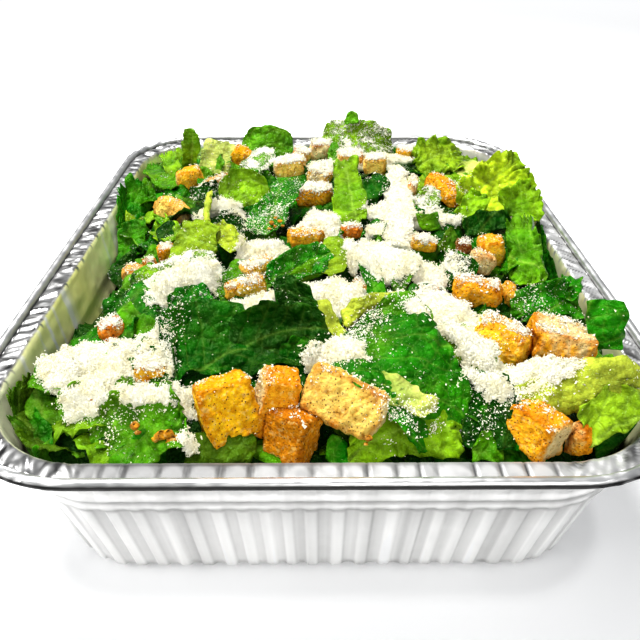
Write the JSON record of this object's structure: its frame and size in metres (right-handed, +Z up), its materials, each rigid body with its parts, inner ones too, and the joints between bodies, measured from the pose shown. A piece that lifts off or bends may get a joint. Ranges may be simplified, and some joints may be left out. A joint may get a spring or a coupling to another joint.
{
  "type": "caesar salad in foil tray",
  "caption": "Caesar salad of chopped romaine, toasted croutons and grated hard cheese heaped in a fluted half-size foil tray",
  "frame": {"origin": "under the middle of the tray's base, on the surface it rests on", "axes": "+Z up, +Y along the long side of the tray, +X across it; the end nearest the diner is at -Y"},
  "size_m": [0.264, 0.324, 0.11],
  "materials": {
    "foil": "bright pressed foil, crimped and fluted",
    "romaine": "dressed lettuce leaf, slightly glossy",
    "crouton": "toasted bread, dry and pitted"
  },
  "bodies": {
    "root": {"crouton_back_a": "crouton", "crouton_back_b": "crouton", "crouton_back_c": "crouton", "crouton_back_d": "crouton", "crouton_back_e": "crouton", "crouton_back_f": "crouton", "crouton_back_g": "crouton", "crouton_front_a": "crouton", "crouton_front_b": "crouton", "crouton_front_c": "crouton", "crouton_front_d": "crouton", "crouton_front_e": "crouton", "crouton_front_f": "crouton", "crouton_left_a": "crouton", "crouton_left_b": "crouton", "crouton_left_c": "crouton", "crouton_left_d": "crouton", "crouton_left_e": "crouton", "crouton_left_f": "crouton", "crouton_left_g": "crouton", "crouton_left_h": "crouton", "crouton_left_i": "crouton", "crouton_left_j": "crouton", "crouton_mid_a": "crouton", "crouton_mid_b": "crouton", "crouton_mid_c": "crouton", "crouton_mid_e": "crouton", "crouton_mid_f": "crouton", "crouton_mid_g": "crouton", "crouton_mid_h": "crouton", "crouton_mid_i": "crouton", "crouton_mid_j": "crouton", "crouton_right_a": "crouton", "crouton_right_b": "crouton", "crouton_right_c": "crouton", "crouton_right_d": "crouton", "crouton_right_e": "crouton", "crouton_right_f": "crouton", "crouton_right_g": "crouton", "crouton_right_h": "crouton", "foil_pan": "foil", "lettuce_heap": "romaine"}
  },
  "joints": []
}
